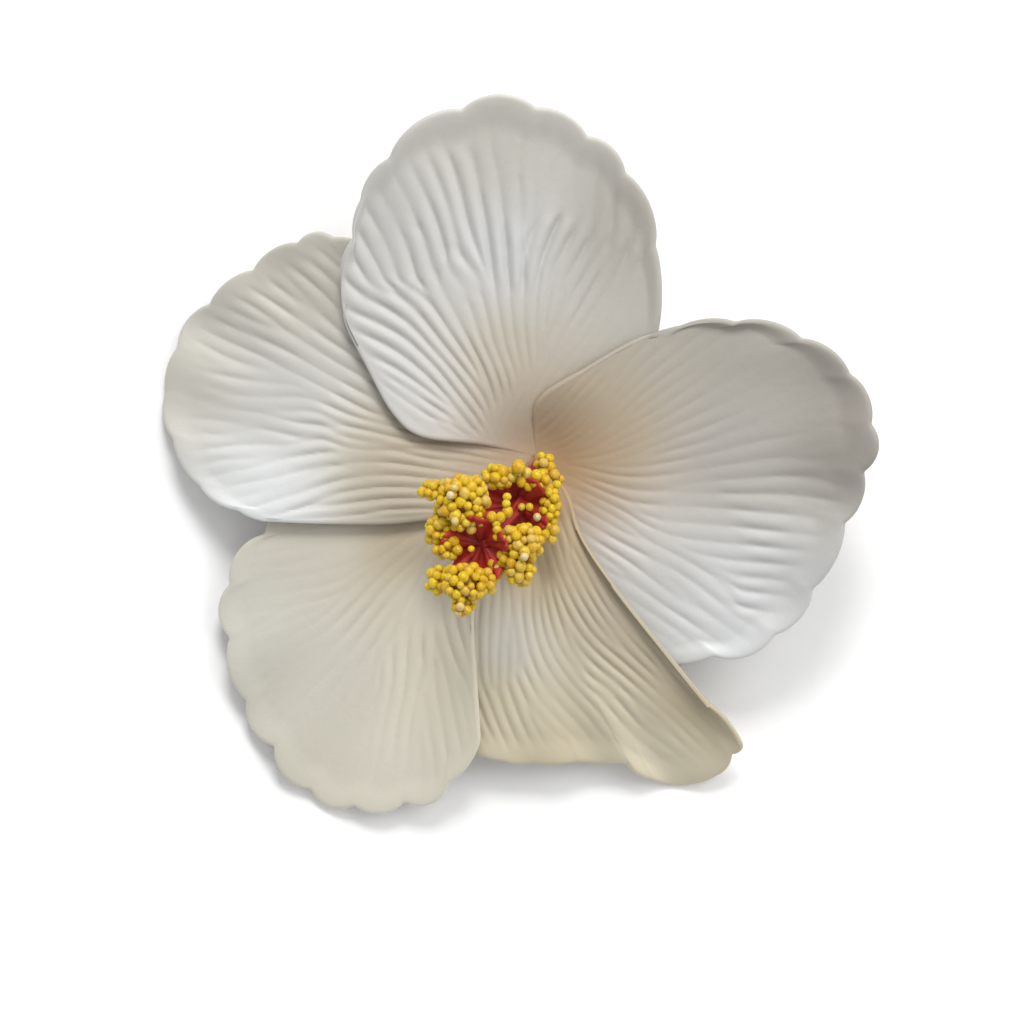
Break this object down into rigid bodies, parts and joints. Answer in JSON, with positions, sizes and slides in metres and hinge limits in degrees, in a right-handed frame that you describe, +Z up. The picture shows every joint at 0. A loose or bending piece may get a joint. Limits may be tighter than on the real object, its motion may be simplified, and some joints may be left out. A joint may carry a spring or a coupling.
{
  "type": "maga flower",
  "caption": "Open white flower lying face up: overlapping scalloped petals with embossed veins, a red ruffled column and clustered yellow bead anthers.",
  "frame": {"origin": "middle of the underside of the flower's box, on the surface it lies on", "axes": "+Z up from the surface towards the open face, +Y towards the top petal, +X towards the right petal"},
  "size_m": [0.1116, 0.1118, 0.0324],
  "materials": {
    "petals": "white pressed foam, satin, embossed veins",
    "column": "deep red, soft and ruffled",
    "anthers": "yellow foam beads, satin",
    "greens": "leaf green, satin"
  },
  "bodies": {
    "root": {"petal_top": "petals", "petal_left": "petals", "petal_lower_left": "petals", "petal_lower_right": "petals", "petal_right": "petals", "staminal_column": "column", "anthers_top_left": "anthers", "anthers_left": "anthers", "anthers_tip": "anthers", "anthers_lower_right": "anthers", "anthers_link": "anthers", "anthers_ridge": "anthers", "anthers_rear_left": "anthers", "anthers_rear_middle": "anthers", "anthers_rear_right": "anthers", "anthers_rear_top": "anthers", "calyx": "greens", "cut_stalk": "greens"}
  },
  "joints": []
}
